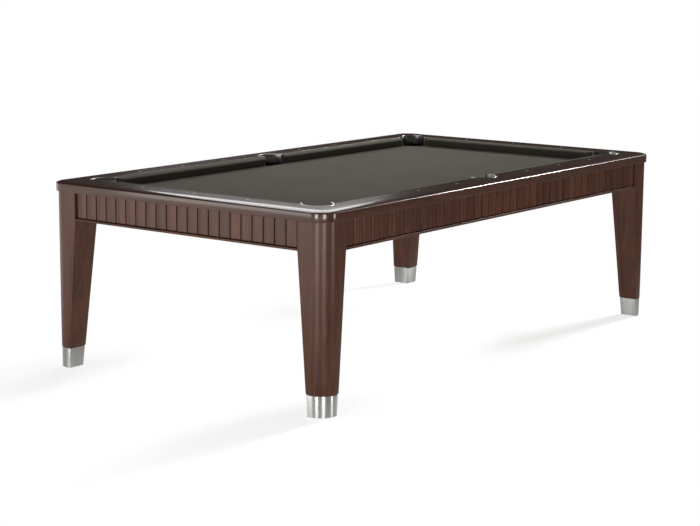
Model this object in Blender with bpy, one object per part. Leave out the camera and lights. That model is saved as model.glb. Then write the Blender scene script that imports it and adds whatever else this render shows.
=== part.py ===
"""An eight-foot drop-pocket pool table with tapered legs, slatted aprons and metal feet.

Metres, +Z up. The origin is on the floor under the middle of the table. +X runs along the
table from the head end to the foot end, and +Y is the left side, seen from the head end.
"""

import math

import bmesh
import bpy
from mathutils import Matrix, Vector

INCH = 0.0254
GAP = 0.0003  # left between pieces that touch
CUTTER_REACH = 0.02  # how far a cutter runs past what it cuts

# Overall sizes
PLAY_LENGTH = 88 * INCH  # cushion nose to cushion nose
PLAY_WIDTH = 44 * INCH
RAIL_WIDTH = 0.176  # outer edge of the rail to the cushion nose
HEIGHT = 0.799
BED_HEIGHT = 0.756  # top of the cloth on the slate

# Wooden rail
RAIL_BOTTOM = BED_HEIGHT + GAP
RAIL_EDGE_TOP = 0.789  # where the outer face turns into the crowned top
CROWN_RUN = 0.048  # how far in from the edge the top still slopes
CROWN_ANGLES = (12, 28, 46, 66, 90)  # degrees round the crown's quarter ellipse
RAIL_CORNER_RADIUS = 0.0765
RAIL_CORNER_STEPS = 5
MITRE_GAP = 0.00025

# Cushion
CUSHION_DEPTH = 0.043  # nose to the wood
NOSE_ABOVE_BED = 0.0365
NOSE_POINTS = ((0.004, 0.0015), (0.0, -0.001), (0.002, -0.006))  # behind the nose, above its height
CUSHION_FOOT = 0.017  # nose to the foot of the cushion's face
CUSHION_STEP = 0.0005  # the cushion's back edge lies this far below the wood
CUSHION_OVERRUN = 0.045  # past the corner of the play field, before the pocket cut

# Pockets
CORNER_SETBACK = 0.014  # pocket centre past the corner of the play field, along the diagonal
SIDE_SETBACK = 0.032  # pocket centre past the side nose line
CORNER_MOUTH = 0.127
SIDE_MOUTH = 0.140
RIM_RADIUS = 0.067
RIM_BAND = 0.010
RIM_TOP = HEIGHT + 0.0012
RIM_CHAMFER = 0.002
MOUTH_RUN = 0.11  # length of the mouth's straight jaws, enough to leave the cushions
DROP_RUN = 0.15  # length of the drop's straight sides, enough to leave the slate
CORNER_RIM_ARM = 0.044
SIDE_RIM_ARM = 0.020
POCKET_STEPS = 16
BAG_RADIUS = 0.0605
BAG_WALL = 0.004
BAG_TOP = BED_HEIGHT - 0.0005
BAG_BOTTOM = 0.647
SIDE_SHELF = 0.028  # pocket centre to the straight drop edge of a side pocket
CORNER_SHELF = 1.0  # further out than the bag, so a corner bag is round
DROP_CLEARANCE = 0.0005

# Slate bed
CLOTH_THICKNESS = 0.001
SLATE_THICKNESS = 1 * INCH
SLATE_OVERHANG = 0.100  # past the nose line, under the rails
SLATE_SEAM = 0.405  # the seams lie this far from the middle

# Legs
LEG_INSET = 0.009  # rail edge to leg face
LEG_WIDTH = 0.133
FOOT_WIDTH = 0.0845
LEG_CORNER_RADIUS = 0.0675
LEG_CORNER_STEPS = 6
LEG_NOTCH_DEPTH = 0.0822  # wood left between the outer face and the pocket notch
LEG_NOTCH_BOTTOM = 0.645
FOOT_CAP_TOP = 0.0865
FOOT_CAP_BOTTOM = 0.0015
FOOT_CAP_INSET = 0.002
SHADOW_GAP = 0.002
SHADOW_INSET = 0.004

# Leveller
PAD_RADIUS = 0.020
PAD_THICKNESS = 0.006
STUD_RADIUS = 0.005
STUD_TOP = 0.050
LEVELLER_CLEARANCE = 0.0008
PAD_RECESS_TOP = 0.008
STUD_HOLE_TOP = 0.060

# Aprons
SLAT_PITCH = 0.0559
SLAT_GROOVE = 0.0055
GROOVE_DEPTH = 0.006
SIDE_SLATS = 41
END_SLATS = 21
SLAT_RECESS = 0.009  # leg face to slat face
APRON_THICKNESS = 0.018
APRON_BOTTOM = 0.6525
APRON_TONGUE = 0.0036  # the backing runs on below the slats
MOULDING_BOTTOM = 0.6385
MOULDING_HEIGHT = 0.010
MOULDING_RECESS = 0.003
MOULDING_ROUND = 0.0025

# Frame
BEAM_BOTTOM = 0.645
CROSS_BEAM_WIDTH = 0.076
CROSS_BEAM_PLACES = (-0.85, -0.405, 0.405, 0.85)
BAG_TO_BEAM = 0.003
BRACKET_ARM = 0.102
BRACKET_THICKNESS = 0.003
BRACKET_BOTTOM = 0.662
BRACKET_TOP = 0.714

# Worked out from the above
HALF_PLAY = Vector((PLAY_LENGTH / 2, PLAY_WIDTH / 2))
HALF_RAIL = HALF_PLAY + Vector((RAIL_WIDTH, RAIL_WIDTH))
HALF_LEGS = HALF_RAIL - Vector((LEG_INSET, LEG_INSET))
SLATE_TOP = BED_HEIGHT - CLOTH_THICKNESS - GAP
SLATE_BOTTOM = SLATE_TOP - SLATE_THICKNESS
BEAM_TOP = SLATE_BOTTOM - GAP
APRON_BACK = SLAT_RECESS + APRON_THICKNESS  # leg face to the back of the apron
BEAM_BACK = APRON_BACK + GAP  # leg face to the outer face of a beam
CORNERS = (("head_right", -1, -1), ("foot_right", 1, -1), ("foot_left", 1, 1), ("head_left", -1, 1))


def clear_scene():
    for obj in list(bpy.data.objects):
        bpy.data.objects.remove(obj, do_unlink=True)


def make_material(name, colour, roughness, metallic=0.0):
    material = bpy.data.materials.new(name)
    material.use_nodes = True
    shader = material.node_tree.nodes["Principled BSDF"]
    shader.inputs["Base Color"].default_value = (*colour, 1)
    shader.inputs["Roughness"].default_value = roughness
    shader.inputs["Metallic"].default_value = metallic
    material.diffuse_color = (*colour, 1)
    return material


def make_object(name, bm, material):
    bmesh.ops.recalc_face_normals(bm, faces=bm.faces)
    mesh = bpy.data.meshes.new(name)
    bm.to_mesh(mesh)
    bm.free()
    mesh.materials.append(material)
    obj = bpy.data.objects.new(name, mesh)
    bpy.context.scene.collection.objects.link(obj)
    return obj


def copy_object(obj, name):
    copy = obj.copy()
    copy.name = name
    bpy.context.scene.collection.objects.link(copy)
    return copy


def as_cutter(obj):
    obj.hide_render = True
    obj.display_type = "WIRE"
    return obj


def cut(obj, cutters):
    for cutter in cutters:
        modifier = obj.modifiers.new(cutter.name, "BOOLEAN")
        modifier.operation = "DIFFERENCE"
        modifier.object = cutter


def prism(name, outline, bottom, top, material):
    """An outline of (x, y) points between two heights."""
    bm = bmesh.new()
    base = bm.faces.new([bm.verts.new((x, y, bottom)) for x, y in outline])
    raised = bmesh.ops.extrude_face_region(bm, geom=[base])["geom"]
    rise = [v for v in raised if isinstance(v, bmesh.types.BMVert)]
    bmesh.ops.translate(bm, verts=rise, vec=(0, 0, top - bottom))
    return make_object(name, bm, material)


def box(name, low, high, material):
    outline = [(low[0], low[1]), (high[0], low[1]), (high[0], high[1]), (low[0], high[1])]
    return prism(name, outline, low[2], high[2], material)


def make_cutter(name, outline, bottom, top, material):
    """A prism that runs past both heights."""
    return as_cutter(prism(name, outline, bottom - CUTTER_REACH, top + CUTTER_REACH, material))


def skin_rows(bm, rows, closed):
    """Quads between neighbouring rows of vertices; closed joins each row's ends."""
    for lower, upper in zip(rows, rows[1:]):
        count = len(lower)
        for i in range(count if closed else count - 1):
            j = (i + 1) % count
            bm.faces.new((lower[i], lower[j], upper[j], upper[i]))


def arc(centre, radius, start, end, steps):
    """Points on an arc between two angles in radians, both ends included."""
    turn = (end - start) / steps
    return [
        (centre[0] + radius * math.cos(start + turn * i), centre[1] + radius * math.sin(start + turn * i))
        for i in range(steps + 1)
    ]


def placed(outline, centre, angle):
    """The outline turned about the origin, then moved to the centre."""
    turn = Matrix.Rotation(angle, 2)
    return [tuple(turn @ Vector(point) + Vector(centre)) for point in outline]


# Pockets. In a pocket's own plan, +X points away from the play field.


class Pocket:
    """Where one pocket is, which way it faces, and the shape of its mouth."""

    def __init__(self, name, centre, angle, nose_end, arm, shelf):
        self.name = name
        self.centre = centre
        self.angle = angle
        self.nose_end = nose_end  # end of one cushion nose, in the pocket's plan
        self.arm = arm
        self.shelf = shelf

    def jaw(self):
        """The angle where the jaws leave the rim's circle, and one jaw's unit direction."""
        reach = math.hypot(*self.nose_end)
        angle = math.atan2(self.nose_end[1], self.nose_end[0]) - math.acos(RIM_RADIUS / reach)
        along = Vector((-math.sin(angle), math.cos(angle)))
        return angle, along

    def mouth_outline(self, radius, run):
        """A U: an arc behind the pocket, and jaws that run a distance towards the field."""
        angle, along = self.jaw()
        back = arc((0, 0), radius, -angle, angle, POCKET_STEPS)
        left = Vector(back[-1]) + along * run
        right = Vector((left.x, -left.y))
        return [tuple(right), *back, tuple(left)]

    def drop_outline(self, radius, shelf, run):
        """The opening in the slate: an arc on the field side, and straight sides that run out."""
        start = math.acos(-shelf / radius) if shelf < radius else math.pi
        upper = arc((0, 0), radius, math.pi / 2, start, POCKET_STEPS // 2)
        lower = [(x, -y) for x, y in reversed(upper)]
        if shelf >= radius:
            lower = lower[1:]
        return [(run, radius), *upper, *lower, (run, -radius)]

    def bag_outline(self, radius, shelf):
        """A circle, cut off straight at the shelf on the field side."""
        if shelf >= radius:
            return arc((0, 0), radius, -math.pi, math.pi, POCKET_STEPS + 4)[:-1]
        start = math.acos(-shelf / radius)
        return arc((0, 0), radius, -start, start, POCKET_STEPS)


def corner_pocket(name, sign_x, sign_y):
    offset = CORNER_SETBACK / math.sqrt(2)
    centre = (sign_x * (HALF_PLAY.x + offset), sign_y * (HALF_PLAY.y + offset))
    angle = math.atan2(sign_y, sign_x)
    half_mouth = CORNER_MOUTH / 2
    nose_end = (-CORNER_SETBACK - half_mouth, half_mouth)
    return Pocket(name, centre, angle, nose_end, CORNER_RIM_ARM, CORNER_SHELF)


def side_pocket(name, sign_y):
    centre = (0, sign_y * (HALF_PLAY.y + SIDE_SETBACK))
    nose_end = (-SIDE_SETBACK, SIDE_MOUTH / 2)
    return Pocket(name, centre, sign_y * math.pi / 2, nose_end, SIDE_RIM_ARM, SIDE_SHELF)


def mouth_cutter(pocket, material):
    outline = placed(pocket.mouth_outline(RIM_RADIUS + GAP, MOUTH_RUN), pocket.centre, pocket.angle)
    return make_cutter(f"cut_mouth_{pocket.name}", outline, BED_HEIGHT, HEIGHT, material)


def drop_cutter(pocket, material):
    radius = BAG_RADIUS + DROP_CLEARANCE
    outline = pocket.drop_outline(radius, pocket.shelf + DROP_CLEARANCE, DROP_RUN)
    outline = placed(outline, pocket.centre, pocket.angle)
    return make_cutter(f"cut_drop_{pocket.name}", outline, SLATE_BOTTOM, BED_HEIGHT, material)


def beam_cutter(pocket, material):
    outline = pocket.bag_outline(BAG_RADIUS + BAG_TO_BEAM, pocket.shelf + BAG_TO_BEAM)
    outline = placed(outline, pocket.centre, pocket.angle)
    return make_cutter(f"cut_beam_{pocket.name}", outline, BEAM_BOTTOM, BEAM_TOP, material)


def make_rim(pocket, material):
    """A metal band round the back of the pocket, with an arm along each jaw."""
    low = RAIL_BOTTOM + GAP
    shoulder = RIM_TOP - RIM_CHAMFER
    section = (
        (0, low),
        (0, shoulder),
        (RIM_CHAMFER, RIM_TOP),
        (RIM_BAND - RIM_CHAMFER, RIM_TOP),
        (RIM_BAND, shoulder),
        (RIM_BAND, low),
    )
    bm = bmesh.new()
    rows = []
    for inward, height in section:
        outline = pocket.mouth_outline(RIM_RADIUS - inward, pocket.arm)
        outline = placed(outline, pocket.centre, pocket.angle)
        rows.append([bm.verts.new((x, y, height)) for x, y in outline])
    skin_rows(bm, [*rows, rows[0]], closed=False)
    for end in (0, -1):
        bm.faces.new([row[end] for row in rows])
    return make_object(f"pocket_rim_{pocket.name}", bm, material)


def make_bag(pocket, material):
    """A leather cup that hangs through the slate and catches the balls."""
    bm = bmesh.new()
    rows = []
    for inward, height in (
        (0, BAG_BOTTOM),
        (0, BAG_TOP),
        (BAG_WALL, BAG_TOP),
        (BAG_WALL, BAG_BOTTOM + BAG_WALL),
    ):
        outline = pocket.bag_outline(BAG_RADIUS - inward, pocket.shelf - inward)
        outline = placed(outline, pocket.centre, pocket.angle)
        rows.append([bm.verts.new((x, y, height)) for x, y in outline])
    skin_rows(bm, rows, closed=True)
    bm.faces.new(rows[0])
    bm.faces.new(rows[-1])
    return make_object(f"pocket_bag_{pocket.name}", bm, material)


# Rails and cushions. In a rail's own plan, X runs along it and +Y points away from the field.


def crown_height(inset):
    """Height of the rail's top, as an ellipse that meets the flat part without a crease."""
    out = max(0.0, 1 - inset / CROWN_RUN)
    return RAIL_EDGE_TOP + (HEIGHT - RAIL_EDGE_TOP) * math.sqrt(1 - out * out)


def make_rail(name, half, angle, cutters, material):
    """A mitred, crowned rail; half is (half its nose length, nose to the table's middle)."""
    corner = Vector((half[0] - MITRE_GAP, half[1])) + Vector((1, 1)) * (RAIL_WIDTH - RAIL_CORNER_RADIUS)
    insets = [CROWN_RUN * (1 - math.cos(math.radians(a))) for a in CROWN_ANGLES]
    levels = [(0.0, RAIL_BOTTOM), (0.0, RAIL_EDGE_TOP)]
    levels += [(inset, crown_height(inset)) for inset in insets]
    bm = bmesh.new()
    rows = []
    for inset, height in levels:
        radius = RAIL_CORNER_RADIUS - inset
        right = arc(corner, radius, math.pi / 4, math.pi / 2, RAIL_CORNER_STEPS)
        left = [(-x, y) for x, y in reversed(right)]
        rows.append([bm.verts.new((x, y, height)) for x, y in right + left])
    skin_rows(bm, rows, closed=False)
    wood = Vector((half[0] - MITRE_GAP, half[1])) + Vector((1, 1)) * CUSHION_DEPTH
    inner = [[bm.verts.new((s * wood.x, wood.y, z)) for s in (-1, 1)] for z in (RAIL_BOTTOM, HEIGHT)]
    bm.faces.new([*rows[0], *inner[0]])
    bm.faces.new([*rows[-1], *inner[1]])
    bm.faces.new([*inner[0], *reversed(inner[1])])
    bm.faces.new([*(row[-1] for row in rows), inner[1][0], inner[0][0]])
    bm.faces.new([*(row[0] for row in rows), inner[1][1], inner[0][1]])
    rail = make_object(name, bm, material)
    rail.rotation_euler.z = angle
    cut(rail, cutters)
    return rail


def make_cushion(name, nose, start, end, angle, cutters, material):
    """A cloth-covered rubber cushion between two places along its rail."""
    nose_height = BED_HEIGHT + NOSE_ABOVE_BED
    section = (
        (CUSHION_DEPTH - GAP, RAIL_BOTTOM + GAP),
        (CUSHION_DEPTH - GAP, HEIGHT - CUSHION_STEP),
        *((behind, nose_height + above) for behind, above in NOSE_POINTS),
        (CUSHION_FOOT, RAIL_BOTTOM + GAP),
    )
    bm = bmesh.new()
    rows = [[bm.verts.new((x, nose + y, z)) for y, z in section] for x in (start, end)]
    skin_rows(bm, rows, closed=True)
    bm.faces.new(rows[0])
    bm.faces.new(rows[1])
    cushion = make_object(name, bm, material)
    cushion.rotation_euler.z = angle
    cut(cushion, cutters)
    return cushion


# Bed


def make_bed(cutters, slate_material, cloth_material):
    edge = HALF_PLAY + Vector((SLATE_OVERHANG, SLATE_OVERHANG))
    spans = (
        ("slate_head", -edge.x, -SLATE_SEAM - GAP / 2),
        ("slate_centre", -SLATE_SEAM + GAP / 2, SLATE_SEAM - GAP / 2),
        ("slate_foot", SLATE_SEAM + GAP / 2, edge.x),
    )
    for name, start, end in spans:
        slate = box(name, (start, -edge.y, SLATE_BOTTOM), (end, edge.y, SLATE_TOP), slate_material)
        place = name.split("_")[1]
        near = "side" if place == "centre" else place
        cut(slate, [cutter for cutter in cutters if near in cutter.name])
    low = (-edge.x, -edge.y, SLATE_TOP + GAP)
    cloth = box("bed_cloth", low, (edge.x, edge.y, BED_HEIGHT), cloth_material)
    cut(cloth, cutters)


# Legs. In a leg's own plan the outer corner is at the origin and the wood lies at -X and -Y.


def leg_width(height):
    """The inner two faces taper from the apron down to the floor."""
    return FOOT_WIDTH + (LEG_WIDTH - FOOT_WIDTH) * min(1.0, height / MOULDING_BOTTOM)


def leg_section(height, inset):
    inner = -(leg_width(height) - inset)
    radius = LEG_CORNER_RADIUS - inset
    centre = (-LEG_CORNER_RADIUS, -LEG_CORNER_RADIUS)
    round_corner = arc(centre, radius, 0, math.pi / 2, LEG_CORNER_STEPS)
    return [
        (inner, -LEG_NOTCH_DEPTH),
        (inner, inner),
        (-LEG_NOTCH_DEPTH, inner),
        (-inset, inner),
        *round_corner,
        (inner, -inset),
    ]


def leg_loft(name, levels, material, keep_open=False):
    bm = bmesh.new()
    rows = []
    for height, inset in levels:
        rows.append([bm.verts.new((x, y, height)) for x, y in leg_section(height, inset)])
    skin_rows(bm, rows, closed=True)
    bm.faces.new(rows[0])
    if keep_open:
        return bm, rows[-1]
    bm.faces.new(rows[-1])
    return make_object(name, bm, material)


def make_leg(name, material):
    """The wood, solid up to the notch that clears the corner pocket and L-shaped above it."""
    neck_bottom = FOOT_CAP_TOP + GAP
    wood_bottom = FOOT_CAP_TOP + SHADOW_GAP
    levels = (
        (neck_bottom, SHADOW_INSET),
        (wood_bottom, SHADOW_INSET),
        (wood_bottom, 0.0),
        (MOULDING_BOTTOM, 0.0),
        (LEG_NOTCH_BOTTOM, 0.0),
    )
    bm, top = leg_loft(name, levels, material, keep_open=True)
    notch = bm.verts.new((-LEG_NOTCH_DEPTH, -LEG_NOTCH_DEPTH, LEG_NOTCH_BOTTOM))
    bm.faces.new((top[0], top[1], top[2], notch))
    post = bm.faces.new([notch, *top[2:], top[0]])
    raised = bmesh.ops.extrude_face_region(bm, geom=[post])["geom"]
    bmesh.ops.delete(bm, geom=[post], context="FACES_ONLY")
    rise = [v for v in raised if isinstance(v, bmesh.types.BMVert)]
    bmesh.ops.translate(bm, verts=rise, vec=(0, 0, BED_HEIGHT - LEG_NOTCH_BOTTOM))
    return make_object(name, bm, material)


def turned(name, profile, material, steps=20):
    """A solid turned about Z from (radius, height) points that run up its outer side."""
    bm = bmesh.new()
    rows = []
    for radius, height in profile:
        ring = arc((0, 0), radius, 0, 2 * math.pi, steps)[:-1]
        rows.append([bm.verts.new((x, y, height)) for x, y in ring])
    skin_rows(bm, rows, closed=True)
    bm.faces.new(rows[0])
    bm.faces.new(rows[-1])
    return make_object(name, bm, material)


def leveller_profile(extra, bottom, pad_top, stud_top):
    return (
        (PAD_RADIUS + extra, bottom),
        (PAD_RADIUS + extra, pad_top),
        (STUD_RADIUS + extra, pad_top),
        (STUD_RADIUS + extra, stud_top),
    )


def make_feet(wood, metal, steel):
    """Leg, foot cap, leveller and corner bracket at each corner."""
    leg = make_leg("leg", wood)
    cap_levels = ((FOOT_CAP_BOTTOM, FOOT_CAP_INSET), (FOOT_CAP_TOP, FOOT_CAP_INSET))
    cap = leg_loft("foot_cap", cap_levels, metal)
    pad = turned("leveller", leveller_profile(0.0, 0.0, PAD_THICKNESS, STUD_TOP), steel)
    hole = leveller_profile(LEVELLER_CLEARANCE, -CUTTER_REACH, PAD_RECESS_TOP, STUD_HOLE_TOP)
    hole_cutter = as_cutter(turned("cut_leveller", hole, steel))
    notch = LEG_NOTCH_DEPTH + GAP
    outline = [
        (-notch, -notch),
        (-notch - BRACKET_ARM, -notch),
        (-notch - BRACKET_ARM, -notch - BRACKET_THICKNESS),
        (-notch - BRACKET_THICKNESS, -notch - BRACKET_THICKNESS),
        (-notch - BRACKET_THICKNESS, -notch - BRACKET_ARM),
        (-notch, -notch - BRACKET_ARM),
    ]
    bracket = prism("corner_bracket", outline, BRACKET_BOTTOM, BRACKET_TOP, steel)
    for corner, sign_x, sign_y in CORNERS:
        place = Vector((sign_x * HALF_LEGS.x, sign_y * HALF_LEGS.y, 0))
        angle = math.atan2(sign_y, sign_x) - math.pi / 4
        for original in (leg, cap, bracket):
            copy = copy_object(original, f"{original.name}_{corner}")
            copy.location = place
            copy.rotation_euler.z = angle
            if original is cap:
                foot_cap = copy
        middle = FOOT_WIDTH / 2
        axis = place - Vector((sign_x * middle, sign_y * middle, 0))
        cutter = copy_object(hole_cutter, f"cut_leveller_{corner}")
        cutter.location = axis
        cut(foot_cap, [cutter])
        copy_object(pad, f"leveller_{corner}").location = axis
    for original in (leg, cap, pad, bracket, hole_cutter):
        bpy.data.objects.remove(original, do_unlink=True)


# Aprons. In an apron's own plan, X runs along it and +Y points out of the table.


def make_apron(name, slats, half_span, leg_face, angle, material):
    """Upright slats on a backing board, between two legs."""
    face = leg_face - SLAT_RECESS
    groove = face - GROOVE_DEPTH
    back = leg_face - APRON_BACK
    half_slat = (SLAT_PITCH - SLAT_GROOVE) / 2
    bm = bmesh.new()
    slat_faces = []
    front = []
    for i in range(slats):
        middle = (i - (slats - 1) / 2) * SLAT_PITCH
        foot = [bm.verts.new((middle + s * half_slat, groove, APRON_BOTTOM)) for s in (-1, 1)]
        nose = [bm.verts.new((middle + s * half_slat, face, APRON_BOTTOM)) for s in (-1, 1)]
        slat_faces.append(bm.faces.new((foot[0], foot[1], nose[1], nose[0])))
        front += foot
    end = half_span - GAP
    corners = ((end, groove), (end, back), (-end, back), (-end, groove))
    backing = bm.faces.new([*front, *(bm.verts.new((x, y, APRON_BOTTOM)) for x, y in corners)])
    raised = bmesh.ops.extrude_face_region(bm, geom=[backing, *slat_faces])["geom"]
    rise = [v for v in raised if isinstance(v, bmesh.types.BMVert)]
    bmesh.ops.translate(bm, verts=rise, vec=(0, 0, BED_HEIGHT - APRON_BOTTOM))
    lowered = bmesh.ops.extrude_face_region(bm, geom=[backing])["geom"]
    bmesh.ops.delete(bm, geom=[backing], context="FACES_ONLY")
    drop = [v for v in lowered if isinstance(v, bmesh.types.BMVert)]
    bmesh.ops.translate(bm, verts=drop, vec=(0, 0, -APRON_TONGUE))
    apron = make_object(name, bm, material)
    apron.rotation_euler.z = angle
    return apron


def make_moulding(name, half_span, leg_face, angle, material):
    """A square strip under the apron, with its two front edges rounded."""
    front = leg_face - MOULDING_RECESS
    back = leg_face - APRON_BACK
    top = MOULDING_BOTTOM + MOULDING_HEIGHT
    r = MOULDING_ROUND
    lower = arc((front - r, MOULDING_BOTTOM + r), r, -math.pi / 2, 0, 2)
    upper = arc((front - r, top - r), r, 0, math.pi / 2, 2)
    section = [(back, MOULDING_BOTTOM), *lower, *upper, (back, top)]
    bm = bmesh.new()
    end = half_span - GAP
    rows = [[bm.verts.new((x, y, z)) for y, z in section] for x in (-end, end)]
    skin_rows(bm, rows, closed=True)
    bm.faces.new(rows[0])
    bm.faces.new(rows[1])
    moulding = make_object(name, bm, material)
    moulding.rotation_euler.z = angle
    return moulding


# Frame


def make_frame(cutters, material):
    """Two side beams, two end beams and four cross beams under the slate."""
    beam_out = HALF_LEGS - Vector((BEAM_BACK, BEAM_BACK))
    beam_in = HALF_LEGS - Vector((LEG_NOTCH_DEPTH, LEG_NOTCH_DEPTH))
    end = HALF_LEGS - Vector((LEG_WIDTH + GAP, LEG_WIDTH + GAP))
    for side, sign in (("right", -1), ("left", 1)):
        low, high = sorted((sign * beam_in.y, sign * beam_out.y))
        beam = box(f"frame_beam_{side}", (-end.x, low, BEAM_BOTTOM), (end.x, high, BEAM_TOP), material)
        cut(beam, [cutter for cutter in cutters if side in cutter.name])
    for side, sign in (("head", -1), ("foot", 1)):
        low, high = sorted((sign * beam_in.x, sign * beam_out.x))
        box(f"frame_beam_{side}", (low, -end.y, BEAM_BOTTOM), (high, end.y, BEAM_TOP), material)
    reach = beam_in.y - GAP
    for number, place in enumerate(CROSS_BEAM_PLACES, 1):
        low = (place - CROSS_BEAM_WIDTH / 2, -reach, BEAM_BOTTOM)
        high = (place + CROSS_BEAM_WIDTH / 2, reach, BEAM_TOP)
        box(f"frame_cross_{number}", low, high, material)


def main():
    clear_scene()
    wood = make_material("espresso_wood", (0.055, 0.022, 0.013), 0.3)
    frame_wood = make_material("frame_timber", (0.45, 0.32, 0.19), 0.7)
    cloth = make_material("charcoal_cloth", (0.115, 0.11, 0.095), 0.9)
    slate = make_material("slate", (0.12, 0.13, 0.14), 0.75)
    foot_metal = make_material("brushed_metal", (0.62, 0.61, 0.59), 0.3, 1.0)
    rim_metal = make_material("satin_metal", (0.5, 0.5, 0.5), 0.35, 1.0)
    steel = make_material("zinc_steel", (0.45, 0.46, 0.48), 0.4, 1.0)
    leather = make_material("black_leather", (0.012, 0.012, 0.012), 0.5)

    corners = [corner_pocket(name, x, y) for name, x, y in CORNERS]
    sides = [side_pocket("side_right", -1), side_pocket("side_left", 1)]
    pockets = corners + sides
    mouths = [mouth_cutter(pocket, rim_metal) for pocket in pockets]
    drops = [drop_cutter(pocket, slate) for pocket in pockets]
    for pocket in pockets:
        make_rim(pocket, rim_metal)
        make_bag(pocket, leather)
    make_bed(drops, slate, cloth)

    span = HALF_LEGS - Vector((LEG_WIDTH, LEG_WIDTH))
    long_rail = (HALF_PLAY.x, HALF_PLAY.y)
    short_rail = (HALF_PLAY.y, HALF_PLAY.x)
    for side, angle in (("left", 0.0), ("right", math.pi)):
        near = [mouth for mouth in mouths if side in mouth.name]
        make_rail(f"rail_{side}", long_rail, angle, near, wood)
        make_apron(f"apron_{side}", SIDE_SLATS, span.x, HALF_LEGS.y, angle, wood)
        make_moulding(f"moulding_{side}", span.x, HALF_LEGS.y, angle, wood)
        for end, sign in (("head", -1), ("foot", 1)):
            reach = sign * math.cos(angle) * (HALF_PLAY.x + CUSHION_OVERRUN)
            start, stop = sorted((0.0, reach))
            cutters = [mouth for mouth in near if end in mouth.name or "side" in mouth.name]
            make_cushion(f"cushion_{side}_{end}", HALF_PLAY.y, start, stop, angle, cutters, cloth)
    for end, angle in (("head", math.pi / 2), ("foot", -math.pi / 2)):
        near = [mouth for mouth in mouths if end in mouth.name]
        make_rail(f"rail_{end}", short_rail, angle, near, wood)
        make_apron(f"apron_{end}", END_SLATS, span.y, HALF_LEGS.x, angle, wood)
        make_moulding(f"moulding_{end}", span.y, HALF_LEGS.x, angle, wood)
        reach = HALF_PLAY.y + CUSHION_OVERRUN
        make_cushion(f"cushion_{end}", HALF_PLAY.x, -reach, reach, angle, near, cloth)

    make_feet(wood, foot_metal, steel)
    beams = [beam_cutter(pocket, frame_wood) for pocket in sides]
    make_frame(beams, frame_wood)


main()
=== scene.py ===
import math
import random

import bmesh
import bpy
from mathutils import Matrix, Vector


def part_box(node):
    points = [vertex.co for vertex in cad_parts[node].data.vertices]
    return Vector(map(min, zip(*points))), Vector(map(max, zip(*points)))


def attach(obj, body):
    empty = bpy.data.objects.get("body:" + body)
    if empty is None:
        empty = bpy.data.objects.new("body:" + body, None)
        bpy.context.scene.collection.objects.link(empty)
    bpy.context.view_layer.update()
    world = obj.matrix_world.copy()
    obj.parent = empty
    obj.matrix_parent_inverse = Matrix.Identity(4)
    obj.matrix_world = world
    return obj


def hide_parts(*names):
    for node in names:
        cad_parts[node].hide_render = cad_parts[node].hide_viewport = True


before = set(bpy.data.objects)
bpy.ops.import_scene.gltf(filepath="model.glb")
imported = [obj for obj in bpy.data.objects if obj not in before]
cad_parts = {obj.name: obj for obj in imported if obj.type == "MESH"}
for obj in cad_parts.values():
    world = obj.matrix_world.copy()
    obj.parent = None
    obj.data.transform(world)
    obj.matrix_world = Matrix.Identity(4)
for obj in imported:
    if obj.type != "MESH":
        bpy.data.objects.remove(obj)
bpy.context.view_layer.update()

# Metres, +Z up, +X from the head end to the foot end. Nearly everything rides on one body.
table = "table"
corners = {"head_right": (-1, -1), "foot_right": (1, -1), "foot_left": (1, 1), "head_left": (-1, 1)}

# places, read from the frame
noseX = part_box("cushion_foot")[0].x
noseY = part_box("cushion_left_head")[0].y
woodEdgeY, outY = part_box("rail_left")[0].y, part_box("rail_left")[1].y
railBottom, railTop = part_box("rail_left")[0].z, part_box("rail_left")[1].z
railWidth = outY - noseY
cushionDepth = woodEdgeY - noseY
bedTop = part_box("bed_cloth")[1].z
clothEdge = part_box("bed_cloth")[1]
slateTop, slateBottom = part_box("slate_centre")[1].z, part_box("slate_centre")[0].z
legOutX, legOutY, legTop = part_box("leg_foot_left")[1]
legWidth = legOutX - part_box("leg_foot_left")[0].x
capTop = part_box("foot_cap_foot_left")[1].z


# trees of nodes, for materials and for geometry

class Wire:
    # one output of a node, so that maths on it reads as sums
    def __init__(self, tree, socket):
        self.tree = tree
        self.socket = socket

    def __add__(self, other):
        return self.tree.maths("ADD", self, other)

    def __sub__(self, other):
        return self.tree.maths("SUBTRACT", self, other)

    def __rsub__(self, other):
        return self.tree.maths("SUBTRACT", other, self)

    def __mul__(self, other):
        return self.tree.maths("MULTIPLY", self, other)

    __radd__ = __add__
    __rmul__ = __mul__


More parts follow.
